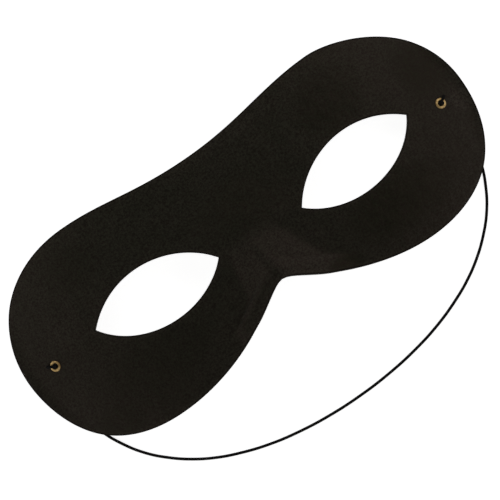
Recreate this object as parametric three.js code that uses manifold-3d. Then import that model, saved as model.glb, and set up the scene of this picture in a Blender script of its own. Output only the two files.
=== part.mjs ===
// A black domino mask: one moulded cloth shell, two brass eyelets, and a round elastic cord with an end knot at each eyelet.
// Lengths are in millimetres. The mask lies face up, with +X along it, +Y towards its top edge, +Z out of its face,
// and z = 0 the surface that its two ends rest on.
import * as THREE from "three";
import { mergeVertices } from "three/addons/utils/BufferGeometryUtils.js";
import Module from "manifold-3d";

const wasm = await Module();
wasm.setup();

// The shell's outline, seen from the front.
const maskLength = 195.5; // from tip to tip
const maskHeight = 80.8; // from the lobes' tops to their bottoms
const tipLift = 0.6; // of the tips above the middle line
const lobeTopSpacing = 109.8; // between the two highest points
const lobeBottomSpacing = 111.2; // between the two lowest points
const dipDepth = 5.3; // of the brow's dip below the lobes' tops
const notchHeight = 19; // of the nose notch above the lobes' bottoms
const notchShift = 1.1; // of the nose notch towards +X
const flankHalfWidth = 17.7; // of the notch where its flanks run straight
const flankHeight = 9.7; // of those places above the lobes' bottoms
const flankSlope = 23.5; // of the flanks there, in degrees

// The eye holes, cut by a die that sat a little off the middle.
const eyeLength = 52; // from corner to corner
const eyeGap = 35.3; // between the inner corners
const eyeShift = 4.4; // of both holes towards +X
const eyeCornerDrop = 2.8; // of the inner corners below the middle line

// The shell's form.
const wall = 1.2;
const crownHeight = 15.5; // of the shell's inner face along the middle
const endPress = 1.5; // how far the ends would reach below the surface if they weren't pressed flat on it
const endRound = 0.8; // the height over which a flattened end blends into the shell
const padWidth = 2.2; // of the flat rest at each tip
const archPower = 2.8; // 2 is an even arch, more keeps the middle flatter
const lobeCurl = 0.11; // the share of its length that the arch loses at the lobes' tops and bottoms

// The brow's swell between the eye holes.
const browRise = 2; // above the shell beside it
const browTop = 24; // where it starts, above the middle line
const browHalfWidth = 25;

// The nose, whose two sides meet on a ridge line.
const ridgeTop = 2; // where it starts to leave the brow, above the middle line
const ridgeFull = -7; // where it has left the brow
const ridgeLean = 2; // of the ridge line from the notch towards -X
const ridgeRound = 0.5; // of the ridge line
const ridgeFoot = 0.4; // the height over which the sides blend into the shell
const lipWidth = 5.5; // of the pressed lip round the notch
const lipRise = 0.3; // of the lip above the shell
const lipRamp = 1.8; // the width of the slope up to it
const lipReach = 33; // of the lip to each side of the notch
const lipFade = 0.65; // the share of its reach where it starts to fade out
const lipSlope = 0.55; // how much the lip's line falls for its run
const lipRound = 3; // its radius over the notch

// The eyelets, and the clear gap between pieces that touch.
const eyeletInset = 12.2; // of their middles from the tips of the mask, on average
const eyeletShift = 0.25; // of both towards +X
const eyeletDrop = 0.9; // of their mean below the middle line
const eyeletTwist = 1.5; // of one above that mean and the other below it
const eyeletBore = 1.7;
const barrelWall = 0.35;
const flangeDiameter = 4.2;
const flangeRise = 0.45;
const rollDiameter = 3.7;
const rollRise = 0.4;
const clearance = 0.3;

// The cord and its knots.
const cordDiameter = 1;
const cordLift = 0.02; // of the laid cord above the surface
const knotDiameter = 2.1;
const tailLength = 3.1; // of the knot's loose end from the eyelet's middle

// How finely curved faces are divided.
const coarseStep = 6;
const rowStep = 4.4;
const fineStep = 2.2; // round the nose
const endStep = 2.3; // near the two ends
const noseHalfWidth = 34;
const endWidth = 12;
const slabMargin = 4;
const edgeSteps = 9;
const eyeSteps = 12;
const roundSides = 16;
const domeSteps = 5;
const ballSides = 12;
const cordSides = 8;

const lobeTop = maskHeight / 2;
const lobeBottom = -maskHeight / 2;
const notchY = lobeBottom + notchHeight;

// One row for each point of the right half's edge, from the brow's dip round to the notch. x and y are in millimetres,
// heading is the way that the edge runs there in degrees, follows is the share of the notch's shift that the point
// takes, and before and after are the lengths of its curve handles as shares of the chords on each side.
const edgeTable = [
  { x: 0, y: lobeTop - dipDepth, heading: 0, follows: 0, before: 0, after: 0.455 },
  { x: lobeTopSpacing / 2, y: lobeTop, heading: 0, follows: 0, before: 0.359, after: 0.4 },
  { x: maskLength / 2, y: tipLift, heading: -90, follows: 0, before: 0.393, after: 0.422 },
  { x: lobeBottomSpacing / 2, y: lobeBottom, heading: 180, follows: 0, before: 0.452, after: 0.451 },
  { x: flankHalfWidth, y: lobeBottom + flankHeight, heading: 180 - flankSlope, follows: 0.7, before: 0.118, after: 0.409 },
  { x: 0, y: notchY, heading: 180, follows: 1, before: 0.178, after: 0 },
];

// One row for each eye hole. side is -1 at -X, length is a share of eyeLength, lift is a share of it too, and slant is
// how much the outer corner stands above the inner one, in degrees.
const eyeTable = [
  { side: -1, length: 1.01, lift: 0.028, slant: 4.5 },
  { side: 1, length: 0.99, lift: -0.028, slant: 6.3 },
];

// One row for each long edge of an eye hole. The handles' lengths along the hole and away from it are shares of it.
const lidTable = [
  { name: "upper", innerAlong: 0.247, innerOut: 0.279, outerAlong: 0.281, outerOut: 0.321 },
  { name: "lower", innerAlong: 0.25, innerOut: -0.303, outerAlong: 0.227, outerOut: -0.303 },
];

// One row for each side of the nose. slope is its rise for its run, foot is how far it reaches from the ridge line at
// the middle line, spread is how much further it reaches for each step down, and lip is the share of its slope that the
// lip keeps.
const noseTable = [
  { side: 1, slope: 0.27, foot: 10.2, spread: 0.45, lip: 0.9 },
  { side: -1, slope: 0.32, foot: 9.2, spread: 0.18, lip: 0.55 },
];

// One row for each eyelet. tail is the way that the knot's loose end points, in degrees from +X.
const eyeletTable = [
  { name: "left", side: -1, lift: 1, tail: 153 },
  { name: "right", side: 1, lift: -1, tail: 31 },
];

// One row for each point of the cord's middle line from an eyelet down to the surface. out and back are how far it
// stands from the eyelet in millimetres, towards the mask's tip and towards -Y, and rise is its height above the laid
// cord as a share of the eyelet's.
const leadTable = [
  { out: 0.5, back: 0, rise: 1.053 },
  { out: 0, back: 0, rise: 0.74 },
  { out: -0.35, back: 0.15, rise: 0.519 },
  { out: -0.7, back: 0.7, rise: 0.286 },
  { out: -0.9, back: 1.9, rise: 0.084 },
  { out: -0.8, back: 3.8, rise: 0.012 },
];

// One row for each point of the cord laid on the surface, from under the mask's end to the loop's middle. wide and low
// are shares of half the mask's length and of half its height.
const loopTable = [
  { wide: 0.884, low: 0.26 },
  { wide: 0.892, low: 0.42 },
  { wide: 0.89, low: 0.594 },
  { wide: 0.879, low: 0.718 },
  { wide: 0.843, low: 0.916 },
  { wide: 0.792, low: 1.106 },
  { wide: 0.728, low: 1.27 },
  { wide: 0.657, low: 1.408 },
  { wide: 0.581, low: 1.52 },
  { wide: 0.503, low: 1.606 },
  { wide: 0.389, low: 1.7 },
  { wide: 0.266, low: 1.765 },
  { wide: 0.136, low: 1.804 },
  { wide: 0, low: 1.817 },
];

const cloth = new THREE.MeshStandardMaterial({ color: 0x1d1b17, roughness: 0.75, metalness: 0 });
const brass = new THREE.MeshStandardMaterial({ color: 0xb08d57, roughness: 0.35, metalness: 1 });
const elastic = new THREE.MeshStandardMaterial({ color: 0x0d0c0b, roughness: 0.85, metalness: 0 });

// The value, but never under zero, with a parabola over the last stretch so that the two meet without a corner.
function softFloor(value, blend) {
  if (value >= blend) return value;
  if (value <= -blend) return 0;
  return (value + blend) ** 2 / (4 * blend);
}

// The length beyond a rounded corner: the same as its size far out, and flat at zero.
function roundedAbs(value, radius) {
  return Math.hypot(value, radius) - radius;
}

// 1 on the pressed lip round the notch, 0 off it.
function lipShare(x, y) {
  const across = x - notchShift;
  const line = notchY + lipWidth - lipSlope * roundedAbs(across, lipRound);
  const beyond = THREE.MathUtils.smoothstep(line - y, -lipRamp / 2, lipRamp / 2);
  return beyond * (1 - THREE.MathUtils.smoothstep(Math.abs(across), lipReach * lipFade, lipReach));
}

// How much the nose, its lip and the brow over it stand above the shell.
function noseRise(x, y) {
  const across = x - notchShift + ridgeLean;
  const swell = Math.max(1 - (across / browHalfWidth) ** 2, 0) ** 2;
  const brow = browRise * swell * THREE.MathUtils.smoothstep(browTop - y, 0, browTop);
  const lip = lipShare(x, y);
  const [right, left] = noseTable.map((row) => {
    const kept = 1 - lip * (1 - row.lip);
    return row.slope * (row.foot - row.spread * y - row.side * across * kept);
  });
  const sides = (right + left) / 2 - Math.hypot(right - left, ridgeRound) / 2;
  const down = THREE.MathUtils.smoothstep(ridgeTop - y, 0, ridgeTop - ridgeFull);
  return THREE.MathUtils.lerp(brow, softFloor(sides, ridgeFoot), down) + lipRise * lip;
}

// The height of the shell's inner face.
function innerHeight(x, y) {
  const end = (maskLength / 2) * (1 - lobeCurl * (y / lobeTop) ** 2);
  const arch = 1 - Math.abs(x / end) ** archPower;
  const free = (crownHeight + endPress) * arch - endPress;
  return softFloor(free + noseRise(x, y), endRound / 2);
}

// The way out of the shell's face.
function faceNormal(x, y) {
  const h = 0.05;
  const dx = (innerHeight(x + h, y) - innerHeight(x - h, y)) / (2 * h);
  const dy = (innerHeight(x, y + h) - innerHeight(x, y - h)) / (2 * h);
  return new THREE.Vector3(-dx, -dy, 1).normalize();
}

// A three.js geometry as a solid for cutting and joining.
function solidOf(geometry) {
  const bare = geometry.clone();
  bare.deleteAttribute("normal");
  bare.deleteAttribute("uv");
  const merged = mergeVertices(bare, 1e-4);
  const vertProperties = new Float32Array(merged.attributes.position.array);
  const triVerts = new Uint32Array(merged.index.array);
  return new wasm.Manifold(new wasm.Mesh({ numProp: 3, vertProperties, triVerts }));
}

// A solid as a three.js geometry.
function geometryOf(solid) {
  const { vertProperties, triVerts } = solid.getMesh();
  const geometry = new THREE.BufferGeometry();
  geometry.setAttribute("position", new THREE.BufferAttribute(vertProperties, 3));
  geometry.setIndex(new THREE.BufferAttribute(triVerts, 1));
  geometry.computeVertexNormals();
  return geometry;
}

// Values from low to high in even steps of about the given size.
function evenSteps(low, high, step) {
  const count = Math.max(1, Math.round((high - low) / step));
  return Array.from({ length: count + 1 }, (_, i) => low + ((high - low) * i) / count);
}

// Grid lines from a start through spans, each with its own step.
function gridLines(start, spans) {
  const lines = [start];
  for (const { to, step } of spans) lines.push(...evenSteps(lines.at(-1), to, step).slice(1));
  return lines;
}

// The uncut cloth: a closed slab of the wall's thickness that follows the shell's form.
function clothSlab() {
  const outX = maskLength / 2 + slabMargin;
  const padX = maskLength / 2 - padWidth;
  const endX = maskLength / 2 - endWidth;
  const outY = lobeTop + slabMargin;
  const xs = gridLines(-outX, [
    { to: -padX, step: outX - padX },
    { to: -endX, step: endStep },
    { to: -noseHalfWidth, step: coarseStep },
    { to: noseHalfWidth, step: fineStep },
    { to: endX, step: coarseStep },
    { to: padX, step: endStep },
    { to: outX, step: outX - padX },
  ]);
  const ys = gridLines(-outY, [
    { to: notchY - 3 * slabMargin, step: rowStep },
    { to: ridgeTop, step: fineStep },
    { to: outY, step: rowStep },
  ]);
  const inner = [];
  const outer = [];
  for (const y of ys) {
    for (const x of xs) {
      const foot = new THREE.Vector3(x, y, innerHeight(x, y));
      inner.push(...foot);
      outer.push(...foot.addScaledVector(faceNormal(x, y), wall));
    }
  }
  const columns = xs.length;
  const rows = ys.length;
  const lid = columns * rows;
  const faces = [];
  const quad = (a, b, c, d) => faces.push(a, b, c, a, c, d);
  for (let r = 0; r + 1 < rows; r++) {
    for (let c = 0; c + 1 < columns; c++) {
      const at = r * columns + c;
      quad(lid + at, lid + at + 1, lid + at + columns + 1, lid + at + columns);
      quad(at, at + columns, at + columns + 1, at + 1);
    }
  }
  for (let c = 0; c + 1 < columns; c++) {
    const far = (rows - 1) * columns + c;
    quad(c, c + 1, lid + c + 1, lid + c);
    quad(far + 1, far, lid + far, lid + far + 1);
  }
  for (let r = 0; r + 1 < rows; r++) {
    const near = r * columns;
    const far = near + columns - 1;
    quad(near + columns, near, lid + near, lid + near + columns);
    quad(far, far + columns, lid + far + columns, lid + far);
  }
  const geometry = new THREE.BufferGeometry();
  geometry.setAttribute("position", new THREE.Float32BufferAttribute([...inner, ...outer], 3));
  geometry.setIndex(faces);
  return solidOf(geometry);
}

// The edge of one half, from the brow's dip to the notch. side is -1 for the half at -X.
function halfEdge(side) {
  const points = [];
  for (let i = 0; i + 1 < edgeTable.length; i++) {
    const [from, to] = [edgeTable[i], edgeTable[i + 1]];
    const start = new THREE.Vector2(side * from.x + from.follows * notchShift, from.y);
    const end = new THREE.Vector2(side * to.x + to.follows * notchShift, to.y);
    const chord = start.distanceTo(end);
    const away = (row, length) => {
      const heading = THREE.MathUtils.degToRad(row.heading);
      return new THREE.Vector2(side * Math.cos(heading), Math.sin(heading)).multiplyScalar(length);
    };
    const leave = start.clone().add(away(from, from.after * chord));
    const arrive = end.clone().sub(away(to, to.before * chord));
    const curve = new THREE.CubicBezierCurve(start, leave, arrive, end);
    points.push(...curve.getPoints(edgeSteps).slice(i === 0 ? 0 : 1));
  }
  return points;
}

// The almond outline of one eye hole.
function eyeHole({ side, length, lift, slant }) {
  const long = length * eyeLength;
  const inner = new THREE.Vector2(side * (eyeGap / 2) + eyeShift, lift * eyeLength - eyeCornerDrop);
  const tilt = THREE.MathUtils.degToRad(slant);
  const at = (along, out) =>
    new THREE.Vector2(
      inner.x + side * long * (along * Math.cos(tilt) - out * Math.sin(tilt)),
      inner.y + long * (along * Math.sin(tilt) + out * Math.cos(tilt)),
    );
  const [upper, lower] = lidTable.map((lid) =>
    new THREE.CubicBezierCurve(
      inner,
      at(lid.innerAlong, lid.innerOut),
      at(1 - lid.outerAlong, lid.outerOut),
      at(1, 0),
    ).getPoints(eyeSteps),
  );
  return new THREE.Path([...upper, ...lower.reverse().slice(1, -1)]);
}

// Where an eyelet sits: its foot on the shell's inner face, its place on the outer face, and its axis out of it.
function eyeletSeat({ side, lift }) {
  const x = side * (maskLength / 2 - eyeletInset) + eyeletShift;
  const y = lift * eyeletTwist - eyeletDrop;
  const normal = faceNormal(x, y);
  const foot = new THREE.Vector3(x, y, innerHeight(x, y));
  const place = foot.clone().addScaledVector(normal, wall);
  return { place, foot, normal };
}

// A group that stands on an eyelet's seat with its own +Z along the eyelet's axis and its +X the way the tail points.
function seatGroup(row) {
  const { place, normal } = eyeletSeat(row);
  const group = new THREE.Group();
  const tail = THREE.MathUtils.degToRad(row.tail);
  const forward = new THREE.Vector3(Math.cos(tail), Math.sin(tail), 0);
  const across = new THREE.Vector3().crossVectors(normal, forward).normalize();
  forward.crossVectors(across, normal);
  group.quaternion.setFromRotationMatrix(new THREE.Matrix4().makeBasis(forward, across, normal));
  group.position.copy(place);
  return group;
}

function maskShell() {
  const outline = new THREE.Shape([...halfEdge(-1), ...halfEdge(1).reverse().slice(1, -1)]);
  outline.holes = eyeTable.map(eyeHole);
  const tall = crownHeight + wall + 4 * slabMargin;
  const blank = new THREE.ExtrudeGeometry(outline, { depth: tall, bevelEnabled: false });
  let shell = clothSlab().intersect(solidOf(blank.translate(0, 0, -slabMargin)));
  for (const row of eyeletTable) {
    const radius = eyeletBore / 2 + barrelWall + clearance;
    const punch = new THREE.CylinderGeometry(radius, radius, 6 * wall, roundSides).rotateX(Math.PI / 2);
    const seat = seatGroup(row);
    seat.updateMatrix();
    shell = shell.subtract(solidOf(punch.applyMatrix4(seat.matrix)));
  }
  return new THREE.Mesh(geometryOf(shell), cloth);
}

// One eyelet, turned about its axis: a domed flange on the shell's face, a barrel through it and a roll behind it.
function eyelet() {
  const bore = eyeletBore / 2;
  const barrel = bore + barrelWall;
  const dome = (outside, base, rise) => {
    const middle = (outside + bore) / 2;
    const half = (outside - bore) / 2;
    const turns = evenSteps(0, Math.PI, Math.PI / domeSteps);
    return turns.map((a) => [middle + half * Math.cos(a), base + rise * Math.sin(a)]);
  };
  const profile = [
    [barrel, -wall - clearance],
    [barrel, clearance],
    ...dome(flangeDiameter / 2, clearance, flangeRise),
    ...dome(rollDiameter / 2, -wall - clearance, -rollRise).reverse(),
  ];
  const points = [...profile, profile[0]].map(([r, h]) => new THREE.Vector2(r, h));
  const geometry = new THREE.LatheGeometry(points, roundSides).rotateX(Math.PI / 2);
  return new THREE.Mesh(geometryOf(solidOf(geometry)), brass);
}

// A round section for cords.
function cordSection() {
  const section = new THREE.Shape();
  for (let i = 0; i < cordSides; i++) {
    const angle = (2 * Math.PI * i) / cordSides;
    const point = [(cordDiameter / 2) * Math.cos(angle), (cordDiameter / 2) * Math.sin(angle)];
    if (i === 0) section.moveTo(...point);
    else section.lineTo(...point);
  }
  section.closePath();
  return section;
}

// A curve whose steps follow its points, so that bends with close points get more of them.
class RoutedCurve extends THREE.CatmullRomCurve3 {
  getUtoTmapping(u) {
    return u;
  }
}

function cordTube(points, stepsEach) {
  const path = new RoutedCurve(points.map((p) => new THREE.Vector3(...p)));
  const steps = stepsEach * (points.length - 1);
  return new THREE.ExtrudeGeometry(cordSection(), { steps, extrudePath: path, bevelEnabled: false });
}

// A knot that is jammed in the flange's mouth, with its loose end laid over the flange and cut short.
function knot() {
  const radius = knotDiameter / 2;
  const flangeMiddle = (flangeDiameter + eyeletBore) / 4;
  const flangeHalf = (flangeDiameter - eyeletBore) / 4;
  const apart = radius + clearance + flangeHalf;
  const up = clearance + Math.sqrt(Math.max(apart ** 2 - flangeMiddle ** 2, 0));
  const over = 2 * clearance + flangeRise + cordDiameter / 2;
  const down = clearance + cordDiameter / 2;
  const ball = new THREE.SphereGeometry(radius, ballSides, ballSides - 4).rotateX(Math.PI / 2);
  ball.translate(0, 0, up);
  const tail = cordTube(
    [
      [0.2, 0, up],
      [flangeMiddle, 0, over],
      [(flangeMiddle + tailLength) / 2, 0, over],
      [tailLength, 0, (over + down) / 2],
    ],
    2,
  );
  return new THREE.Mesh(geometryOf(solidOf(ball).add(solidOf(tail))), elastic);
}

// The cord's middle line from one eyelet to the middle of the laid loop.
function halfCord(row) {
  const { place, foot } = eyeletSeat(row);
  const laid = cordDiameter / 2 + cordLift;
  const lead = leadTable.map(({ out, back, rise }) => [
    foot.x + row.side * out,
    foot.y - back,
    laid + rise * (place.z - laid),
  ]);
  const loop = loopTable.map(({ wide, low }) => [(row.side * wide * maskLength) / 2, low * lobeBottom, laid]);
  return [...lead, ...loop];
}

function elasticCord() {
  const [left, right] = eyeletTable.map(halfCord);
  const points = [...left, ...right.reverse().slice(1)];
  return new THREE.Mesh(geometryOf(solidOf(cordTube(points, 2))), elastic);
}

const domino = new THREE.Group();

function place(mesh, name, parent) {
  mesh.name = name;
  parent.add(mesh);
}

place(maskShell(), "mask_shell", domino);
place(elasticCord(), "elastic_cord", domino);
for (const row of eyeletTable) {
  const seat = seatGroup(row);
  place(eyelet(), `eyelet_${row.name}`, seat);
  place(knot(), `knot_${row.name}`, seat);
  domino.add(seat);
}

export default domino;
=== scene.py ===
"""The looks of a black domino mask: its moulded cloth shell, brass eyelets, elastic cord, knots and stage.

Everything is in metres. The mask lies face up: +X along it, +Y towards the brow, +Z out of its face.
"""

import math

import bmesh
import bpy
from bpy.props import FloatProperty, FloatVectorProperty, IntProperty, PointerProperty
from mathutils import Euler, Matrix, Vector
from mathutils.geometry import interpolate_bezier, intersect_line_line_2d
from mathutils.kdtree import KDTree


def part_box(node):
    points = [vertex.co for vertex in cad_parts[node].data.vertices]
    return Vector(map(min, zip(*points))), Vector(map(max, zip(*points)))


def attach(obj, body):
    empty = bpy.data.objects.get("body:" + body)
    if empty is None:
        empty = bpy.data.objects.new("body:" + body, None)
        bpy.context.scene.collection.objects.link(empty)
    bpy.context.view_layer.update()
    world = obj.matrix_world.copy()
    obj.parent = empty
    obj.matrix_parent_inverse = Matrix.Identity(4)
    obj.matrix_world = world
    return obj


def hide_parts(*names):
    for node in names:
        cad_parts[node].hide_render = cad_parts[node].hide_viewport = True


bl_info = {
    "name": "Domino mask looks",
    "version": (1, 0, 0),
    "blender": (4, 5, 0),
    "location": "3D View > Sidebar > Domino mask",
    "description": "Makes the cloth, eyelets, elastic cord, knots and stage of a domino mask",
    "category": "Object",
}

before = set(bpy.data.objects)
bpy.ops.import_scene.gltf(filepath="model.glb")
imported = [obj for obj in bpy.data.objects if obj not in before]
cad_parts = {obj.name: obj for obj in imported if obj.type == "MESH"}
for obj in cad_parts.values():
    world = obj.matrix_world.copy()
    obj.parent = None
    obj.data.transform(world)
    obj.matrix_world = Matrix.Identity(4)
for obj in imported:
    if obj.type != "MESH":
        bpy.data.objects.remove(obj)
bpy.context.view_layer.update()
SHELL_LOW, SHELL_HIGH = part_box("mask_shell")

# The picture's width and height in pixels, which the camera's framing is worked out from.
PICTURE = 500

# The width of the camera's film in millimetres.
SENSOR = 36.0

# How many points each curve of the mask's edge and each long edge of an eye hole is drawn with.
EDGE_POINTS = 60
LID_POINTS = 90

# How much of a patch's half width it takes to come in fully.
PATCH_BLEND = 0.7

# One row for each point of the edge, from the brow's dip round to the notch: which outline sizes place it,
# the way that the edge runs there in degrees on the right half, the share of the notch's shift that it
# takes, and the lengths of its curve handles on the left and right halves, as shares of the chords before
# and after it.
EDGE_TABLE = (
    {"at": "dip", "heading": 0, "follows": 0.0, "before": (0.0, 0.0), "after": (0.455, 0.41)},
    {"at": "lobe_top", "heading": 0, "follows": 0.0, "before": (0.335, 0.359), "after": (0.44, 0.21)},
    {"at": "tip", "heading": -90, "follows": 0.0, "before": (0.375, 0.485), "after": (0.17, 0.48)},
    {"at": "lobe_bottom", "heading": 180, "follows": 0.0, "before": (0.645, 0.39), "after": (0.54, 0.48)},
    {"at": "flank", "heading": 156.5, "follows": 0.7, "before": (0.05, 0.08), "after": (0.409, 0.409)},
    {"at": "notch", "heading": 180, "follows": 1.0, "before": (0.178, 0.178), "after": (0.0, 0.0)},
)

# One row for each eye hole: its side, its length and the lift of its inner corner as shares of the eye
# length, and how much its outer corner stands above the inner one, in degrees.
EYE_TABLE = (
    {"side": -1, "length": 1.01, "lift": 0.028, "slant": 4.5},
    {"side": 1, "length": 0.99, "lift": -0.028, "slant": 6.3},
)

# One row for each long edge of an eye hole: its curve handles along the hole and away from it, as shares of
# the hole's length.
LID_TABLE = (
    {"inner_along": 0.247, "inner_out": 0.279, "outer_along": 0.281, "outer_out": 0.321},
    {"inner_along": 0.25, "inner_out": -0.303, "outer_along": 0.227, "outer_out": -0.303},
)

# One row for each side of the nose: how steep it is, how far its foot stands from the ridge at the middle
# line, how much further for each metre below that, and the share of its slope that the lip keeps.
NOSE_TABLE = (
    {"side": 1, "slope": 0.27, "foot": 0.0102, "spread": 0.45, "lip": 0.9},
    {"side": -1, "slope": 0.32, "foot": 0.0092, "spread": 0.18, "lip": 0.55},
)

# One row for each patch of painted light and painted shade on the cloth: its middle, its half width and half
# height in metres, and how much lighter it is painted, which is below zero where it is painted darker.
PATCH_TABLE = (
    {"x": 0.053, "y": -0.023, "wide": 0.027, "high": 0.014, "rub": -0.8},
    {"x": 0.052, "y": 0.022, "wide": 0.017, "high": 0.016, "rub": -0.6},
    {"x": 0.087, "y": 0.013, "wide": 0.012, "high": 0.016, "rub": -0.9},
    {"x": 0.0935, "y": -0.0055, "wide": 0.0065, "high": 0.0065, "rub": 1.1},
    {"x": 0.022, "y": -0.031, "wide": 0.01, "high": 0.006, "rub": -0.9},
    {"x": 0.012, "y": 0.034, "wide": 0.04, "high": 0.005, "rub": 0.45},
    {"x": 0.004, "y": 0.01, "wide": 0.022, "high": 0.014, "rub": -0.3},
    {"x": -0.06, "y": 0.027, "wide": 0.015, "high": 0.012, "rub": -0.3},
    {"x": -0.074, "y": 0.009, "wide": 0.014, "high": 0.01, "rub": 0.25},
    {"x": -0.055, "y": -0.021, "wide": 0.032, "high": 0.015, "rub": -0.3},
    {"x": -0.081, "y": -0.032, "wide": 0.014, "high": 0.01, "rub": -0.5},
)

# One row for each eyelet: its side, whether it stands above or below their mean height, and the way that the
# knot's loose end points, in degrees from +X.
EYELET_TABLE = (
    {"name": "left", "side": -1, "lift": 1, "tail": 153},
    {"name": "right", "side": 1, "lift": -1, "tail": 31},
)

# One row for each point of the cord's middle line from an eyelet down to the surface: how far it stands
# from the eyelet in metres, towards the mask's tip and towards -Y, and its height above the laid cord as a
# share of the eyelet's.
LEAD_TABLE = (
    {"out": 0.0005, "back": 0.0, "rise": 1.053},
    {"out": 0.0, "back": 0.0, "rise": 0.74},
    {"out": -0.00035, "back": 0.00015, "rise": 0.519},
    {"out": -0.0007, "back": 0.0007, "rise": 0.286},
    {"out": -0.0009, "back": 0.0019, "rise": 0.084},
    {"out": -0.0008, "back": 0.0038, "rise": 0.012},
)

# One row for each point of the cord laid on the surface, from under the mask's end to the loop's middle, as
# shares of half the mask's length and of half its height.
LOOP_TABLE = (
    {"wide": 0.884, "low": 0.26},
    {"wide": 0.892, "low": 0.42},
    {"wide": 0.89, "low": 0.594},
    {"wide": 0.879, "low": 0.718},
    {"wide": 0.843, "low": 0.916},
    {"wide": 0.792, "low": 1.106},
    {"wide": 0.728, "low": 1.27},
    {"wide": 0.657, "low": 1.408},
    {"wide": 0.581, "low": 1.52},
    {"wide": 0.503, "low": 1.606},
    {"wide": 0.389, "low": 1.7},
    {"wide": 0.266, "low": 1.765},
    {"wide": 0.136, "low": 1.804},
    {"wide": 0.0, "low": 1.817},
)

# One row for each light beside the mask: where it stands round the mask and above the surface, in degrees,
# and how many times the side lights' power it has.
LIGHT_TABLE = (
    {"name": "light_right", "azimuth": 10, "elevation": 46, "power": 1.4},
    {"name": "light_top", "azimuth": 80, "elevation": 48, "power": 1.2},
    {"name": "light_left", "azimuth": 180, "elevation": 46, "power": 0.8},
    {"name": "light_bottom", "azimuth": 270, "elevation": 48, "power": 0.4},
)


def length(name, description, default):
    """A size in metres."""
    return FloatProperty(name=name, description=description, default=default, unit="LENGTH", precision=5)


def share(name, description, default):
    """A plain number."""
    return FloatProperty(name=name, description=description, default=default)


def colour(name, description, default):
    """A linear colour."""
    return FloatVectorProperty(
        name=name, description=description, default=default, subtype="COLOR", size=3, min=0, max=1
    )


class DominoOutline(bpy.types.PropertyGroup):
    """The mask's edge and eye holes, seen from the front."""

    tip_lift: length("Tip lift", "Height of the tips above the middle line", 0.0006)
    top_spacing: length("Top spacing", "Between the two highest points", 0.1098)
    bottom_spacing: length("Bottom spacing", "Between the two lowest points", 0.1112)
    dip_depth: length("Dip depth", "Of the brow's dip below the lobes' tops", 0.0053)
    notch_height: length("Notch height", "Of the nose notch above the lobes' bottoms", 0.019)
    notch_shift: length("Notch shift", "Of the nose notch towards +X", 0.0011)
    flank_half_width: length("Flank half width", "Of the notch where its flanks run straight", 0.0177)
    flank_height: length("Flank height", "Of those places above the lobes' bottoms", 0.0097)
    eye_length: length("Eye length", "From corner to corner", 0.052)
    eye_gap: length("Eye gap", "Between the inner corners", 0.0353)
    eye_shift: length("Eye shift", "Of both holes towards +X", 0.0044)
    eye_corner_drop: length("Eye corner drop", "Of the inner corners below the middle line", 0.0028)


class DominoForm(bpy.types.PropertyGroup):
    """How the shell is moulded."""

    wall: length("Wall", "Thickness of the cloth", 0.0012)
    crown_height: length("Crown height", "Of the inner face along the middle", 0.0155)
    end_press: length("End press", "How far the ends are pressed flat", 0.0015)
    end_round: length("End round", "Height over which a pressed end blends in", 0.003)
    arch_power: share("Arch power", "2 is an even arch, more keeps the middle flatter", 2.8)
    lobe_curl: share("Lobe curl", "Share of its length that the arch loses at the lobes", 0.11)
    brow_rise: length("Brow rise", "Of the swelling over the nose", 0.002)
    brow_top: length("Brow top", "Where the swelling starts, above the middle line", 0.024)
    brow_half_width: length("Brow half width", "Of the swelling", 0.025)
    ridge_top: length("Ridge top", "Where the nose's sides start, above the middle line", 0.002)
    ridge_full: length("Ridge full", "Where they are fully there", -0.007)
    ridge_lean: length("Ridge lean", "Of the ridge line from the notch towards -X", 0.002)
    ridge_round: length("Ridge round", "How softly the two sides meet", 0.0005)
    ridge_foot: length("Ridge foot", "How softly they meet the shell", 0.0004)
    lip_width: length("Lip width", "Of the pressed lip round the notch", 0.0055)
    lip_rise: length("Lip rise", "Of the lip above the shell", 0.0003)
    lip_ramp: length("Lip ramp", "Width of the slope up to it", 0.0018)
    lip_reach: length("Lip reach", "Of the lip to each side of the notch", 0.033)
    lip_fade: share("Lip fade", "Share of its reach where it starts to fade out", 0.65)
    lip_slope: share("Lip slope", "How much the lip's line falls for its run", 0.55)
    lip_round: length("Lip round", "Radius of the lip's line over the notch", 0.003)
    cut_round: length("Cut round", "Rounding of the cut edges", 0.0002)
    rub_reach: length("Rub reach", "How far from a cut edge the cloth is rubbed", 0.003)
    # The nose's painted highlight comes in fully at this height of its sides.
    nose_highlight_reach: length("Nose reach", "Height of the nose's sides where they are fully rubbed", 0.0008)
    edge_step: length("Edge step", "Between mesh points along the edge", 0.0018)
    rings: IntProperty(name="Rings", description="Mesh rings round each eye", default=34)


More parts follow.
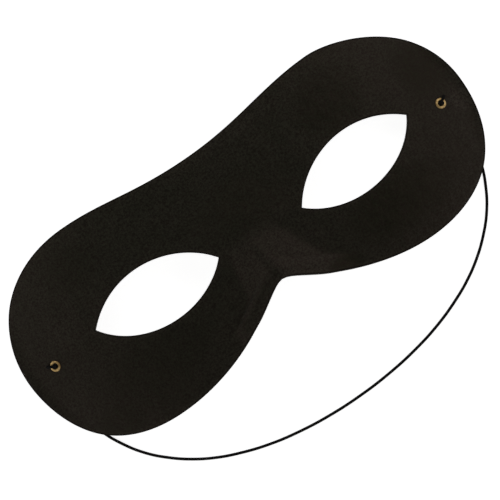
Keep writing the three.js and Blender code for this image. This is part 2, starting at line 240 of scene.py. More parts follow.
class DominoFittings(bpy.types.PropertyGroup):
    """The eyelets, the cord and its knots."""

    inset: length("Eyelet inset", "Of their middles from the tips, on average", 0.0122)
    shift: length("Eyelet shift", "Of both eyelets towards +X", 0.00025)
    drop: length("Eyelet drop", "Of their mean below the middle line", 0.0009)
    twist: length("Eyelet twist", "Of one above that mean and the other below it", 0.0015)
    bore: length("Bore", "Diameter of the eyelet's bore", 0.0017)
    barrel_wall: length("Barrel wall", "Thickness of the eyelet's barrel", 0.00035)
    flange: length("Flange", "Diameter of the flange on the face", 0.0042)
    flange_rise: length("Flange rise", "Height of the flange", 0.00045)
    roll: length("Roll", "Diameter of the roll on the back", 0.0037)
    roll_rise: length("Roll rise", "Height of the roll", 0.0004)
    seat_gap: length("Seat gap", "Between the eyelet and the cloth", 0.00002)
    punch: length("Punch", "Length of the punch that cuts the eyelet holes", 0.006)
    cord: length("Cord", "Diameter of the elastic cord with its fuzz", 0.00115)
    cord_lift: length("Cord lift", "Of the laid cord above the surface", 0.00002)
    tight_cord: length("Tight cord", "Its diameter where the knot squeezes it", 0.00088)
    knot: length("Knot", "Width of the knot", 0.0021)
    core: length("Core", "Width of the squeezed middle that fills the eyelet's mouth", 0.00184)
    tail: length("Tail", "Reach of the loose end from the eyelet's middle", 0.0031)


class DominoFinish(bpy.types.PropertyGroup):
    """The colours of the cloth, the brass and the elastic."""

    cloth: colour("Cloth", "The cloth's own colour, at the brow", (0.026, 0.0318, 0.0201))
    # The deep cloth is painted shade: the cloth is painted darker towards the lobes' bottoms.
    cloth_lower_shade: colour("Deep cloth", "The less faded cloth below the eyes", (0.0165, 0.0206, 0.0128))
    # Kept dye is the colour of the dark patches, which are painted shade.
    cloth_patch_shade: colour("Kept dye", "The cloth where it has kept its dye", (0.0075, 0.0145, 0.005))
    # Worn cloth is real wear at the cut edges and dents, and painted light on the nose's sides and the light
    # patches.
    cloth_worn_and_lit: colour("Worn cloth", "The cloth where it is rubbed", (0.0395, 0.0395, 0.0288))
    brass: colour("Brass", "Clean brass", (0.86, 0.6, 0.26))
    brass_dull: colour("Dull brass", "Tarnished brass", (0.42, 0.24, 0.08))
    # Dark brass is grime and painted shade in the bore and at the foot of each dome.
    brass_grime_and_shade: colour("Dark brass", "Grimy brass in the bore and at the foot", (0.09, 0.035, 0.012))
    elastic: colour("Elastic", "The braided cover of the cord", (0.004, 0.0038, 0.0035))
    floor: colour("Floor", "The surface that the mask lies on", (0.9, 0.9, 0.9))


class DominoStage(bpy.types.PropertyGroup):
    """The camera and the light."""

    pixel: length("Pixel", "Width of one picture pixel on the floor", 0.00037)
    distance: length("Distance", "Of the camera above the floor", 1.5)
    turn: FloatProperty(
        name="Turn",
        description="Of the mask in the picture, counter-clockwise",
        default=math.radians(35.31),
        unit="ROTATION",
    )
    aim_x: length("Aim X", "What the picture's middle shows", -0.0024)
    aim_y: length("Aim Y", "What the picture's middle shows", -0.0059)
    floor_half: length("Floor half", "Half the width of the white surface", 6.0)
    floor_drop: length("Floor drop", "Of the white surface below what rests on it", 0.0001)
    light_away: length("Light distance", "Of the side lights from the mask", 1.1)
    light_width: length("Light width", "Of each side light", 1.1)
    light_height: length("Light height", "Of each side light", 0.5)
    side_light: FloatProperty(
        name="Side light", description="Power of the lights beside the mask", default=0.55, unit="POWER"
    )
    sky: share("Sky", "Strength of the walls and ceiling", 0.3)
    glow: share("Glow", "Light from under the white table top", 0.88)


def settings(name):
    """One of the scene's groups of sizes."""
    return getattr(bpy.context.scene, "domino_" + name)


def smooth_step(value, low, high):
    """0 below low, 1 above high, and a smooth rise between them."""
    part = min(max((value - low) / (high - low), 0.0), 1.0)
    return part * part * (3 - 2 * part)


def soft_floor(value, blend):
    """The value, but never under zero, with a parabola where the two meet."""
    if value >= blend:
        return value
    if value <= -blend:
        return 0.0
    return (value + blend) ** 2 / (4 * blend)


def rounded_abs(value, radius):
    """The value's size, less what a rounded corner takes off it."""
    return math.hypot(value, radius) - radius


def notch_y():
    """The height of the nose notch."""
    return SHELL_LOW.y + settings("outline").notch_height


def lip_share(x, y):
    """1 on the pressed lip round the notch, 0 off it."""
    form = settings("form")
    across = x - settings("outline").notch_shift
    line = notch_y() + form.lip_width - form.lip_slope * rounded_abs(across, form.lip_round)
    beyond = smooth_step(line - y, -form.lip_ramp / 2, form.lip_ramp / 2)
    return beyond * (1 - smooth_step(abs(across), form.lip_reach * form.lip_fade, form.lip_reach))


def nose_side(row, across, y, lip):
    """The height of one side of the nose, which is flatter on the lip."""
    kept = 1 - lip * (1 - row["lip"])
    return row["slope"] * (row["foot"] - row["spread"] * y - row["side"] * across * kept)


def nose_height(x, y):
    """The height of the nose's sides, below zero off them, how full they are, and the lip's share there."""
    form = settings("form")
    across, lip = x - settings("outline").notch_shift + form.ridge_lean, lip_share(x, y)
    right, left = (nose_side(row, across, y, lip) for row in NOSE_TABLE)
    sides = (right + left) / 2 - math.hypot(right - left, form.ridge_round) / 2
    return sides, smooth_step(form.ridge_top - y, 0, form.ridge_top - form.ridge_full), lip


def nose_rise(x, y):
    """How much the nose, its lip and the brow over it stand above the shell."""
    form = settings("form")
    across = x - settings("outline").notch_shift + form.ridge_lean
    swell = max(1 - (across / form.brow_half_width) ** 2, 0) ** 2
    brow = form.brow_rise * swell * smooth_step(form.brow_top - y, 0, form.brow_top)
    sides, full, lip = nose_height(x, y)
    nose = soft_floor(sides, form.ridge_foot)
    return brow + (nose - brow) * full + form.lip_rise * lip


def inner_height(x, y):
    """The height of the shell's inner face."""
    form = settings("form")
    end = SHELL_HIGH.x * (1 - form.lobe_curl * (y / SHELL_HIGH.y) ** 2)
    arch = 1 - abs(x / end) ** form.arch_power
    free = (form.crown_height + form.end_press) * arch - form.end_press
    return soft_floor(free + nose_rise(x, y), form.end_round / 2)


def face_normal(x, y):
    """The way out of the shell's face."""
    step = 0.00005
    along_x = (inner_height(x + step, y) - inner_height(x - step, y)) / (2 * step)
    along_y = (inner_height(x, y + step) - inner_height(x, y - step)) / (2 * step)
    return Vector((-along_x, -along_y, 1)).normalized()


def patch_light_and_shade(x, y):
    """How much lighter the cloth is painted there, as painted light, and below zero how much darker, as
    painted shade.
    """
    rub = 0
    for row in PATCH_TABLE:
        outwards = math.hypot((x - row["x"]) / row["wide"], (y - row["y"]) / row["high"])
        rub += row["rub"] * smooth_step(1 - outwards, 0, PATCH_BLEND)
    return rub


def eyelet_seat(row):
    """An eyelet's place: +Z runs along its axis, and +X the way that the knot's loose end points."""
    fittings = settings("fittings")
    x = row["side"] * (SHELL_HIGH.x - fittings.inset) + fittings.shift
    y = row["lift"] * fittings.twist - fittings.drop
    up = face_normal(x, y)
    place = Vector((x, y, inner_height(x, y))) + up * settings("form").wall
    angle = math.radians(row["tail"])
    across = up.cross(Vector((math.cos(angle), math.sin(angle), 0))).normalized()
    return Matrix.Translation(place) @ Matrix((across.cross(up), across, up)).transposed().to_4x4()


def edge_places():
    """Where the points of the right half's edge are."""
    outline = settings("outline")
    return {
        "dip": Vector((0, SHELL_HIGH.y - outline.dip_depth)),
        "lobe_top": Vector((outline.top_spacing / 2, SHELL_HIGH.y)),
        "tip": Vector((SHELL_HIGH.x, outline.tip_lift)),
        "lobe_bottom": Vector((outline.bottom_spacing / 2, SHELL_LOW.y)),
        "flank": Vector((outline.flank_half_width, SHELL_LOW.y + outline.flank_height)),
        "notch": Vector((0, notch_y())),
    }


def half_edge(side):
    """The edge of one half, finely drawn, from the brow's dip to the notch."""
    places, shift = edge_places(), settings("outline").notch_shift
    half = 0 if side < 0 else 1
    points = []
    for start, end in zip(EDGE_TABLE, EDGE_TABLE[1:]):
        knots, ways = [], []
        for row in (start, end):
            place = places[row["at"]]
            knots.append(Vector((side * place.x + row["follows"] * shift, place.y)))
            heading = math.radians(row["heading"])
            ways.append(Vector((side * math.cos(heading), math.sin(heading))))
        chord = (knots[1] - knots[0]).length
        leave = knots[0] + ways[0] * start["after"][half] * chord
        arrive = knots[1] - ways[1] * end["before"][half] * chord
        points += interpolate_bezier(knots[0], leave, arrive, knots[1], EDGE_POINTS)[bool(points) :]
    return points


def eye_hole(row):
    """The almond outline of one eye hole, finely drawn, with its middle and its two corners."""
    outline = settings("outline")
    long, tilt, side = row["length"] * outline.eye_length, math.radians(row["slant"]), row["side"]
    inner_y = row["lift"] * outline.eye_length - outline.eye_corner_drop
    inner = Vector((side * outline.eye_gap / 2 + outline.eye_shift, inner_y))

    def at(along, out):
        x = along * math.cos(tilt) - out * math.sin(tilt)
        y = along * math.sin(tilt) + out * math.cos(tilt)
        return inner + long * Vector((side * x, y))

    loop = []
    for lid in LID_TABLE:
        leave = at(lid["inner_along"], lid["inner_out"])
        arrive = at(1 - lid["outer_along"], lid["outer_out"])
        run = interpolate_bezier(inner, leave, arrive, at(1, 0), LID_POINTS)
        loop += run[:-1] if not loop else run[:0:-1]
    return loop, at(0.5, 0), (inner, at(1, 0))


def evenly(points, step):
    """Points about a step apart along a line."""
    run = [0.0]
    for start, end in zip(points, points[1:]):
        run.append(run[-1] + (end - start).length)
    count = max(1, round(run[-1] / step))
    out, at = [], 0
    for i in range(count + 1):
        target = run[-1] * i / count
        while at < len(points) - 2 and run[at + 1] < target:
            at += 1
        part = (target - run[at]) / (run[at + 1] - run[at])
        out.append(points[at].lerp(points[at + 1], part))
    return out


def across_from(point, middle, loop):
    """Where the line from the middle of a closed loop to a point crosses the loop."""
    for start, end in zip(loop, loop[1:] + loop[:1]):
        hit = intersect_line_line_2d(middle, point, start, end)
        if hit:
            return hit
    raise RuntimeError("an eye hole isn't inside its half of the mask")


def add_loop(bm, places):
    """A closed ring of edges through the places."""
    verts = [bm.verts.new(place) for place in places]
    return [bm.edges.new(pair) for pair in zip(verts, verts[1:] + verts[:1])]


def add_half(bm, row, step, rings):
    """The flat cloth of one half: rings that lead from its eye hole out to its edge and the middle line."""
    edge = evenly(half_edge(row["side"]), step)
    middle_line = evenly([edge[-1], edge[0]], step)
    outside = edge + middle_line[1:-1]
    loop, middle, corners = eye_hole(row)
    inside = [across_from(point, middle, loop) for point in outside]
    for corner in corners:
        nearest = min(range(len(inside)), key=lambda i: (inside[i] - corner).length)
        inside[nearest] = corner
    outer, inner = (add_loop(bm, [point.to_3d() for point in ring]) for ring in (outside, inside))
    made = bmesh.ops.bridge_loops(bm, edges=outer + inner)
    bmesh.ops.subdivide_edges(bm, edges=made["edges"], cuts=rings, use_grid_fill=True)


def add_object(name, data):
    """A new object in the scene."""
    made = bpy.data.objects.new(name, data)
    bpy.context.collection.objects.link(made)
    return made


def made_by(data):
    """The mesh that a curve makes, which is left in its place."""
    shaper = add_object("shaper", data)
    mesh = bpy.data.meshes.new_from_object(shaper.evaluated_get(bpy.context.evaluated_depsgraph_get()))
    bpy.data.objects.remove(shaper)
    bpy.data.curves.remove(data)
    return mesh


def open_line(kind, count):
    """A curve with one open spline, and the points of that spline."""
    data = bpy.data.curves.new("line", "CURVE")
    data.dimensions = "3D"
    run = data.splines.new(kind)
    knots = run.bezier_points if kind == "BEZIER" else run.points
    knots.add(count - 1)
    return data, knots


def smooth_path(points, step):
    """Points about a step apart on a smooth line through some others."""
    data, knots = open_line("BEZIER", len(points))
    data.resolution_u = 24
    for knot, point in zip(knots, points):
        knot.co = point
        knot.handle_left_type = knot.handle_right_type = "AUTO"
    return evenly([vert.co.copy() for vert in made_by(data).vertices], step)


def tube(name, path, widths, diameter):
    """A round tube along a path, whose UV runs along it and around it."""
    data, knots = open_line("POLY", len(path))
    data.bevel_depth = diameter / 2
    data.bevel_resolution = 4
    data.use_fill_caps = True
    for knot, point, width in zip(knots, path, widths):
        knot.co = (*point, 1)
        knot.radius = width
    mesh = made_by(data)
    mesh.name = name
    mesh.shade_smooth()
    return mesh


def add_piece(name, mesh, slot, *nodes):
    """A finished piece that rides on the mask and stands for its CAD nodes."""
    piece = add_object(name, mesh)
    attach(piece, "root")
    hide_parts(*nodes)
    return piece


def mesh_of(bm, name):
    """The finished mesh of a bmesh, with smooth shading."""
    mesh = bpy.data.meshes.new(name)
    bm.to_mesh(mesh)
    bm.free()
    mesh.shade_smooth()
    return mesh


class Value:
    """A shader socket, which adds Math nodes when it is used in an expression."""

    def __init__(self, paint, socket):
        self.paint = paint
        self.socket = socket

    def math(self, operation, first, second):
        """A Math node between two sockets or numbers."""
        return self.paint.node("ShaderNodeMath", {"operation": operation}, {0: first, 1: second})

    def __add__(self, other):
        return self.math("ADD", self, other)

    __radd__ = __add__

    def __sub__(self, other):
        return self.math("SUBTRACT", self, other)

    def __rsub__(self, other):
        return self.math("SUBTRACT", other, self)

    def __mul__(self, other):
        return self.math("MULTIPLY", self, other)

    __rmul__ = __mul__


class Paint:
    """The nodes of a material or of the world, under construction."""

    def __init__(self, owner):
        self.owner = owner
        owner.use_nodes = True
        self.tree = owner.node_tree
        self.tree.nodes.clear()

    def node(self, kind, choices=None, inputs=None, output=0):
        """One output of a new node, which gets its settings first, then its sockets' values or links."""
        made = self.tree.nodes.new(kind)
        for name, value in (choices or {}).items():
            if name == "stops":
                self.set_stops(made.color_ramp, value)
            else:
                setattr(made, name, value)
        for name, value in (inputs or {}).items():
            if isinstance(value, Value):
                self.tree.links.new(value.socket, made.inputs[name])
            else:
                made.inputs[name].default_value = value
        return Value(self, made.outputs[output]) if made.outputs else None

    @staticmethod
    def set_stops(ramp, stops):
        """A ramp's stops, as pairs of a place and a grey."""
        while len(ramp.elements) < len(stops):
            ramp.elements.new(1)
        for element, (place, grey) in zip(ramp.elements, stops):
            element.position = place
            element.color = (grey, grey, grey, 1)

    def place(self):
        """Where a point is on its own piece, in metres."""
        return self.node("ShaderNodeTexCoord", output="Object")

    def along(self, vector, axis):
        """One part of a vector."""
        return self.node("ShaderNodeSeparateXYZ", inputs={0: vector}, output=axis)

    def turned(self, vector, scale, turn):
        """A vector that is stretched and turned."""
        sockets = {"Vector": vector, "Scale": scale, "Rotation": turn}
        return self.node("ShaderNodeMapping", {"vector_type": "POINT"}, sockets)

    def noise(self, vector, size, detail, roughness):
        """Cloudy grey with features of about that size in metres."""
        sockets = {"Vector": vector, "Scale": 1 / size, "Detail": detail, "Roughness": roughness}
        return self.node("ShaderNodeTexNoise", inputs=sockets, output="Fac")

    def ramp(self, value, *stops):
        """A value led through grey stops."""
        return self.node("ShaderNodeValToRGB", {"stops": stops}, {"Fac": value})

    def mix(self, factor, first, second):
        """A colour between two others."""
        kind = {"data_type": "RGBA", "clamp_factor": True}
        return self.node("ShaderNodeMix", kind, {0: factor, 6: first, 7: second}, 2)

    def sine(self, value):
        """The sine of a value in radians."""
        return self.node("ShaderNodeMath", {"operation": "SINE"}, {0: value})

    def mark(self, name):
        """A number that the piece's mesh holds at each point."""
        return self.node("ShaderNodeAttribute", {"attribute_name": name}, output="Fac")

    def bump(self, height, distance, strength, under=None):
        """A normal that follows a height, over another normal if there is one."""
        sockets = {"Height": height, "Distance": distance, "Strength": strength}
        if under is not None:
            sockets["Normal"] = under
        return self.node("ShaderNodeBump", inputs=sockets)

    def finish(self, sockets):
        """The finished material, from its shader's values and links."""
        shader = self.node("ShaderNodeBsdfPrincipled", inputs=sockets)
        self.node("ShaderNodeOutputMaterial", inputs={"Surface": shader})
        return self.owner


def rgba(value, times=1.0):
    """A colour with full cover, that many times as bright."""
    return (*(times * part for part in value), 1)


def cloth_material():
    """Black stiffened cloth with a fine weave, a slight sheen and rubbed edges."""
    finish = settings("finish")
    paint = Paint(bpy.data.materials.new("mask_cloth"))
    place = paint.place()
    thread = 0.00042
    warp = paint.turned(place, (2 * math.pi / thread,) * 3, (0, 0, math.radians(45)))
    weave = paint.sine(paint.along(warp, "X")) * paint.sine(paint.along(warp, "Y")) * 0.5 + 0.5
    fuzz = paint.noise(place, 0.00035, 4, 0.7)
    tooth = paint.noise(place, 0.0008, 3, 0.8)
    cloud = paint.noise(place, 0.02, 3, 0.55)
    blotch = paint.noise(place, 0.006, 3, 0.6)
    dents = cloud * 0.6 + blotch * 0.4
    rim = paint.mark("rim")
    patch = paint.mark("patch")
    # The cloth is rubbed light at its cut edges and where it stands out of its dents, and the nose's sides
    # are painted lighter, as a painted highlight.
    rubbed = paint.ramp(rim + fuzz * 0.5 - 0.25, (0.25, 0), (0.7, 1))
    wear_and_highlight = paint.mark("nose") * 0.5 + rubbed * 0.4 + paint.ramp(dents, (0.35, 0), (0.72, 1)) * 0.4
    # The cloth is painted darker towards the lobes' bottoms, as painted shade, evenly over 83 mm up to the
    # brow.
    painted_shade_ramp = paint.along(place, "Y") * 12 + 0.5
    vertically_shaded = paint.mix(painted_shade_ramp, rgba(finish.cloth_lower_shade), rgba(finish.cloth))
    # Patches below zero are painted darker, as painted shade, and those above zero lighter, as painted
    # light.
    kept = paint.mix(patch * -1, vertically_shaded, rgba(finish.cloth_patch_shade))
    tone = paint.mix(wear_and_highlight + patch, kept, rgba(finish.cloth_worn_and_lit))
    # The grain's hollows are painted nearly black, as painted shade, and the cut edges themselves are nearly
    # black.
    dark = rgba(finish.cloth, 0.18)
    hollow_shade = paint.ramp(weave * 0.12 + fuzz * 0.18 + tooth * 0.7, (0.4, 1), (0.58, 0))
    cut = paint.ramp(rim + tooth * 0.1, (0.86, 0), (0.98, 1))
    grain = paint.bump(weave * 0.35 + fuzz * 0.25 + tooth * 0.4, 0.0001, 0.55)
    return paint.finish(
        {
            "Base Color": paint.mix(cut * 0.7, paint.mix(hollow_shade, tone, dark), dark),
            "Roughness": tooth * 0.24 + blotch * 0.16 + cut * 0.4 + 0.28,
            "Specular IOR Level": 0.3,
            "Specular Tint": (1, 0.62, 0.55, 1),
            "Sheen Weight": 0.02,
            "Sheen Roughness": 0.45,
            "Sheen Tint": (1, 0.95, 0.88, 1),
            "Normal": paint.bump(dents, 0.0022, 0.5, grain),
        }
    )


def brass_material():
    """Bright stamped brass, dulled in patches and scuffed."""
    finish = settings("finish")
    paint = Paint(bpy.data.materials.new("eyelet_brass"))
    place = paint.place()
    patch = paint.ramp(paint.noise(place, 0.0009, 4, 0.6), (0.42, 0), (0.68, 1))
    scuff = paint.noise(paint.turned(place, (1, 6, 1), (0, 0, math.radians(20))), 0.0003, 3, 0.6)
    # The brass is painted dark in the bore and towards the foot of each dome, as grime and painted shade.
    rubbed = paint.ramp(paint.mark("rub") + scuff * 0.3 - 0.15, (0.2, 0), (0.75, 1))
    metal = paint.mix(patch * 0.9, rgba(finish.brass), rgba(finish.brass_dull))
    return paint.finish(
        {
            "Base Color": paint.mix(rubbed, rgba(finish.brass_grime_and_shade), metal),
            "Metallic": 1.0,
            "Roughness": patch * 0.2 + scuff * 0.16 + 0.22,
            "Normal": paint.bump(scuff, 0.00003, 0.4),
        }
    )


def elastic_material():
    """The braided black cover of a round elastic cord."""
    finish = settings("finish")
    paint = Paint(bpy.data.materials.new("elastic"))
    run = paint.node("ShaderNodeTexCoord", output="UV")
    turns, around = paint.along(run, "X") * 520.0, paint.along(run, "Y") * 4.0
    one, other = (paint.sine(strand * (2 * math.pi)) for strand in (turns + around, turns - around))
    fuzz = paint.noise(paint.place(), 0.0003, 3, 0.7)
    # The relief also paints the braid's grooves darker than its strands, as painted shade.
    relief = (one * other * 0.5 + 0.5) * 0.7 + fuzz * 0.3
    return paint.finish(
        {
            "Base Color": paint.mix(relief, rgba(finish.elastic), rgba(finish.elastic, 2.6)),
            "Roughness": fuzz * 0.2 + 0.7,
            "Specular IOR Level": 0.12,
            "Normal": paint.bump(relief, 0.00008, 0.7),
        }
    )


def floor_material():
    """The plain matt white top of a light table."""
    paint = Paint(bpy.data.materials.new("floor"))
    return paint.finish(
        {
            "Base Color": rgba(settings("finish").floor),
            "Roughness": 0.9,
            "Specular IOR Level": 0.1,
            "Emission Color": (1, 1, 1, 1),
            "Emission Strength": settings("stage").glow,
        }
    )


class DOMINO_OT_stage(bpy.types.Operator):
    """Makes the floor, the lights and the camera"""

    bl_idname = "domino.stage"
    bl_label = "Make the stage"

    def execute(self, context):
        stage = settings("stage")
        bm = bmesh.new()
        bmesh.ops.create_grid(bm, x_segments=1, y_segments=1, size=stage.floor_half)
        bmesh.ops.translate(bm, verts=bm.verts, vec=(0, 0, -stage.floor_drop))
        floor = add_object("floor", mesh_of(bm, "floor"))
        floor.data.materials.append(floor_material())

        camera = add_object("camera", bpy.data.cameras.new("camera"))
        camera.location = (stage.aim_x, stage.aim_y, stage.distance)
        camera.rotation_euler = (0, 0, -stage.turn)
        camera.data.sensor_width = SENSOR
        camera.data.lens = SENSOR * stage.distance / (PICTURE * stage.pixel)
        camera.data.clip_end = 20
        context.scene.camera = camera

        context.scene.world = self.studio(stage.sky)
        context.scene.view_settings.view_transform = "Standard"

        for row in LIGHT_TABLE:
            lamp = bpy.data.lights.new(row["name"], "AREA")
            lamp.shape = "RECTANGLE"
            lamp.size = stage.light_width
            lamp.size_y = stage.light_height
            lamp.energy = stage.side_light * row["power"]
            light = add_object(row["name"], lamp)
            turn = Euler((math.radians(90 - row["elevation"]), 0, math.radians(row["azimuth"] + 90)))
            light.rotation_euler = turn
            light.location = turn.to_matrix() @ Vector((0, 0, stage.light_away))
        return {"FINISHED"}

    @staticmethod
    def studio(strength):
        """White walls all round, and a dark ceiling that leans away from the brighter side of the table."""
        paint = Paint(bpy.data.worlds.new("studio"))
        way = paint.node("ShaderNodeTexCoord", output="Generated")
        leaning = {0: way, 1: (-0.064, -0.045, 0.997)}
        height = paint.node("ShaderNodeVectorMath", {"operation": "DOT_PRODUCT"}, leaning, "Value")
        tone = paint.ramp(height, (0.72, 1), (0.93, 0.08))
        background = paint.node("ShaderNodeBackground", inputs={"Color": tone, "Strength": strength})
        paint.node("ShaderNodeOutputWorld", inputs={"Surface": background})
        return paint.owner


class DOMINO_OT_cord(bpy.types.Operator):
    """Makes the elastic cord and the knot at each of its ends"""

    bl_idname = "domino.cord"
    bl_label = "Make the cord"

    def execute(self, context):
        fittings = settings("fittings")
        material = elastic_material()
        for row in EYELET_TABLE:
            name = "knot_" + row["name"]
            path = smooth_path(self.knot_points(fittings), fittings.cord / 7)
            widths = [self.knot_width(fittings, i / (len(path) - 1)) for i in range(len(path))]
            made = self.with_core(tube(name, path, widths, fittings.cord), fittings)
            made.transform(eyelet_seat(row))
            knot = add_piece(name + "_tied", made, "elastic", name)
            knot.data.materials.append(material)
        left, right = (self.half_points(row, fittings) for row in EYELET_TABLE)
        path = smooth_path([*left, *right[-2::-1]], fittings.cord * 0.6)
        for point in path:
            point.z = max(point.z, left[-1].z)
        made = tube("elastic_cord", path, [1.0] * len(path), fittings.cord)
        cord = add_piece("elastic_cord_laid", made, "elastic", "elastic_cord")
        cord.data.materials.append(material)
        sum((b - a).length for a, b in zip(path, path[1:]))
        return {"FINISHED"}

    @staticmethod
    def half_points(row, fittings):
        """The cord's middle line from one eyelet to the middle of the laid loop."""
        seat = eyelet_seat(row)
        place, foot = (seat @ Vector((0, 0, height)) for height in (0, -settings("form").wall))
        laid = fittings.cord / 2 + fittings.cord_lift
        side = row["side"]
        points = []
        for at in LEAD_TABLE:
            height = laid + at["rise"] * (place.z - laid)
            points.append(Vector((foot.x + side * at["out"], foot.y - at["back"], height)))
        for at in LOOP_TABLE:
            points.append(Vector((side * at["wide"] * SHELL_HIGH.x, at["low"] * SHELL_LOW.y, laid)))
        return points

    @staticmethod
    def knot_points(fittings):
        """The middle line of a tied overhand knot and its loose end, on the eyelet's own axes."""
        # The tie is a trefoil, which reaches three times its size from the middle. It is left open over 48
        # degrees, between the strand that comes up out of the bore and the loose end that lies down.
        size = (fittings.knot - fittings.tight_cord) / 6
        lift = fittings.flange_rise + fittings.tight_cord * 0.55
        weave = size * 1.35
        steps = 22
        points = [Vector((0, 0, -0.0001)), Vector((0, 0, 0.00012))]
        for i in range(steps + 1):
            turn = math.radians(200) - math.radians(312) * i / steps
            x = math.sin(turn) + 2 * math.sin(2 * turn)
            y = math.cos(turn) - 2 * math.cos(2 * turn)
            points.append(Vector((size * x, size * y, lift - weave * math.sin(3 * turn))))
        over = fittings.flange_rise + fittings.cord * 0.5
        points.append(Vector((fittings.flange * 0.37, 0, over)))
        points.append(Vector((fittings.flange * 0.55, 0, over * 0.85)))
        points.append(Vector((fittings.tail, 0, fittings.cord * 0.55)))
        return points

    @staticmethod
    def with_core(mesh, fittings):
        """The knot's mesh, with the squeezed middle that fills the eyelet's mouth."""
        bm = bmesh.new()
        bm.from_mesh(mesh)
        height, flatness = fittings.flange_rise * 0.4, 0.45
        bmesh.ops.create_uvsphere(
            bm,
            u_segments=24,
            v_segments=14,
            radius=fittings.core / 2,
            matrix=Matrix.Translation((0, 0, height)) @ Matrix.Diagonal((1, 1, flatness, 1)),
            calc_uvs=True,
        )
        bm.to_mesh(mesh)
        bm.free()
        mesh.shade_smooth()
        return mesh

    @staticmethod
    def knot_width(fittings, along):
        """How thick the cord is along the knot: squeezed in the tie, a little over full at its cut end."""
        squeezed, regained = fittings.tight_cord / fittings.cord, 0.3
        return squeezed + regained * smooth_step(along, 0.72, 1)


class DOMINO_OT_shell(bpy.types.Operator):
    """Makes the moulded cloth shell with its eye holes"""

    bl_idname = "domino.shell"
    bl_label = "Make the shell"

    def execute(self, context):
        form, fittings = settings("form"), settings("fittings")
        bm = bmesh.new()
        for row in EYE_TABLE:
            add_half(bm, row, form.edge_step, form.rings)
        bmesh.ops.remove_doubles(bm, verts=bm.verts, dist=1e-6)
        bmesh.ops.recalc_face_normals(bm, faces=bm.faces)
        if sum(face.normal.z for face in bm.faces) < 0:
            bmesh.ops.reverse_faces(bm, faces=bm.faces)
        self.mark_wear_and_light(bm, form)
        for vert in bm.verts:
            vert.co.z = inner_height(vert.co.x, vert.co.y)
        shell = add_piece("mask_shell_cloth", mesh_of(bm, "mask_shell"), "mask_cloth", "mask_shell")
        punches = [self.punch(row, fittings) for row in EYELET_TABLE]
        self.cut(context, shell, punches, form)
        shell.data.materials.append(cloth_material())
        return {"FINISHED"}

    @staticmethod
    def mark_wear_and_light(bm, form):
        """Marks each point of the flat cloth with what its colour is worked out from.

        "rim" is 1 on a cut edge and 0 well inside it, "nose" is 1 on the nose's sides, where a painted
        highlight goes, apart from the lip left of the notch's middle, and "patch" is how much lighter the
        cloth is painted, as painted light, which is below zero where it is painted darker, as painted shade.
        """
        rim, nose, patch = (bm.verts.layers.float.new(name) for name in ("rim", "nose", "patch"))
        cut = [vert for vert in bm.verts if vert.is_boundary]
        tree = KDTree(len(cut))
        for i, vert in enumerate(cut):
            tree.insert(vert.co, i)
        tree.balance()
        for vert in bm.verts:
            x, y = vert.co.x, vert.co.y
            vert[rim] = 1 - smooth_step(tree.find(vert.co)[2], 0, form.rub_reach)
            sides, full, lip = nose_height(x, y)
            pressed = lip if x < settings("outline").notch_shift else 0
            vert[nose] = full * smooth_step(sides, 0, form.nose_highlight_reach) * (1 - pressed)
            vert[patch] = patch_light_and_shade(x, y)

    @staticmethod
    def punch(row, fittings):
        """A round punch on an eyelet's axis."""
        bm = bmesh.new()
        radius = fittings.bore / 2 + fittings.barrel_wall + fittings.seat_gap
        bmesh.ops.create_cone(
            bm,
            cap_ends=True,
            segments=32,
            radius1=radius,
            radius2=radius,
            depth=fittings.punch,
            matrix=eyelet_seat(row),
        )
        return add_object("punch", mesh_of(bm, "punch"))

    @staticmethod
    def cut(context, shell, punches, form):
        """Gives the shell its wall, its eyelet holes and its rounded edges."""
        solid = shell.modifiers.new("wall", "SOLIDIFY")
        solid.thickness = form.wall
        solid.offset = 1
        solid.use_even_offset = True
        for punch in punches:
            hole = shell.modifiers.new("hole", "BOOLEAN")
            hole.operation = "DIFFERENCE"
            hole.object = punch
        soften = shell.modifiers.new("soften", "BEVEL")
        soften.width = form.cut_round
        soften.segments = 2
        soften.limit_method = "ANGLE"
        soften.angle_limit = math.radians(50)
        context.view_layer.update()
        finished = bpy.data.meshes.new_from_object(shell.evaluated_get(context.evaluated_depsgraph_get()))
        shell.modifiers.clear()
        shell.data = finished
        finished.shade_smooth()
        finished.set_sharp_from_angle(angle=math.radians(46))
        for punch in punches:
            bpy.data.objects.remove(punch)


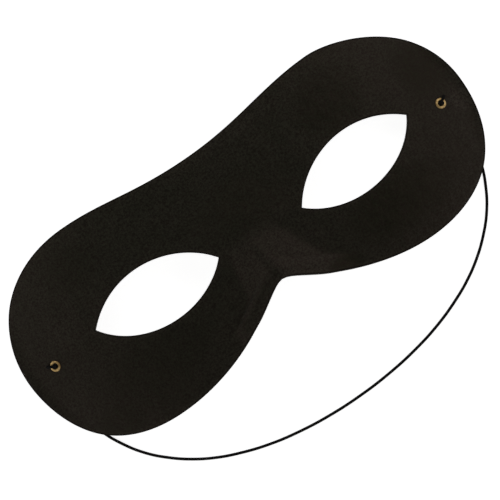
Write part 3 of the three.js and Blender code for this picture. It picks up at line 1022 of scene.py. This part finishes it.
class DOMINO_OT_eyelets(bpy.types.Operator):
    """Makes the two brass eyelets"""

    bl_idname = "domino.eyelets"
    bl_label = "Make the eyelets"

    def execute(self, context):
        fittings, wall = settings("fittings"), settings("form").wall
        material = brass_material()
        for row in EYELET_TABLE:
            bm = bmesh.new()
            add_loop(bm, [(radius, 0, height) for radius, height in self.profile(fittings, wall)])
            bmesh.ops.spin(
                bm,
                geom=bm.verts[:] + bm.edges[:],
                cent=(0, 0, 0),
                axis=(0, 0, 1),
                angle=2 * math.pi,
                steps=48,
                use_merge=True,
            )
            bmesh.ops.remove_doubles(bm, verts=bm.verts, dist=1e-7)
            bmesh.ops.recalc_face_normals(bm, faces=bm.faces)
            self.mark_brass_shade(bm, fittings, wall)
            bmesh.ops.transform(bm, matrix=eyelet_seat(row), verts=bm.verts)
            name = "eyelet_" + row["name"]
            piece = add_piece(name + "_brass", mesh_of(bm, name), "eyelet_brass", name)
            piece.data.set_sharp_from_angle(angle=math.radians(50))
            piece.data.materials.append(material)
        return {"FINISHED"}

    @staticmethod
    def mark_brass_shade(bm, fittings, wall):
        """Marks how far each point stands out of the cloth, which sets the brass's painted shade: 1 on both
        crowns, 0 in the bore.
        """
        layer = bm.verts.layers.float.new("rub")
        for vert in bm.verts:
            front = vert.co.z / fittings.flange_rise
            back = (-wall - vert.co.z) / fittings.roll_rise
            vert[layer] = min(max(front, back, 0.0), 1.0)

    @staticmethod
    def profile(fittings, wall):
        """An eyelet's section, as distances from the axis and heights: barrel, flange and back roll."""
        bore = fittings.bore / 2
        gap = fittings.seat_gap
        steps = 14

        def dome(outside, base, rise):
            middle, half = (outside + bore) / 2, (outside - bore) / 2
            turns = [math.pi * i / steps for i in range(steps + 1)]
            return [(middle + half * math.cos(turn), base + rise * math.sin(turn)) for turn in turns]

        barrel = bore + fittings.barrel_wall
        front = dome(fittings.flange / 2, gap, fittings.flange_rise)
        back = dome(fittings.roll / 2, -wall - gap, -fittings.roll_rise)
        return [(barrel, -wall - gap), (barrel, gap), *front, *reversed(back)]


class DOMINO_PT_panel(bpy.types.Panel):
    """Lists the steps that make the mask"""

    bl_idname = "DOMINO_PT_panel"
    bl_label = "Domino mask"
    bl_space_type = "VIEW_3D"
    bl_region_type = "UI"
    bl_category = "Domino mask"

    def draw(self, context):
        for step in STEPS:
            self.layout.operator(step.bl_idname)
        for name in GROUPS:
            group = settings(name)
            box = self.layout.box()
            for size in group.bl_rna.properties:
                if not size.is_readonly and size.identifier != "name":
                    box.prop(group, size.identifier)


GROUPS = {
    "outline": DominoOutline,
    "form": DominoForm,
    "fittings": DominoFittings,
    "finish": DominoFinish,
    "stage": DominoStage,
}
STEPS = (DOMINO_OT_stage, DOMINO_OT_cord, DOMINO_OT_shell, DOMINO_OT_eyelets)


def register():
    """Adds the groups of sizes, the steps and the panel."""
    for made in (*GROUPS.values(), *STEPS, DOMINO_PT_panel):
        bpy.utils.register_class(made)
    for name, group in GROUPS.items():
        setattr(bpy.types.Scene, "domino_" + name, PointerProperty(type=group))


def unregister():
    """Takes them out again."""
    for name in GROUPS:
        delattr(bpy.types.Scene, "domino_" + name)
    for made in reversed((*GROUPS.values(), *STEPS, DOMINO_PT_panel)):
        bpy.utils.unregister_class(made)


def main():
    """Makes the mask and its stage."""
    register()
    bpy.ops.domino.stage()
    bpy.ops.domino.cord()
    bpy.ops.domino.shell()
    bpy.ops.domino.eyelets()


if __name__ == "__main__":
    main()
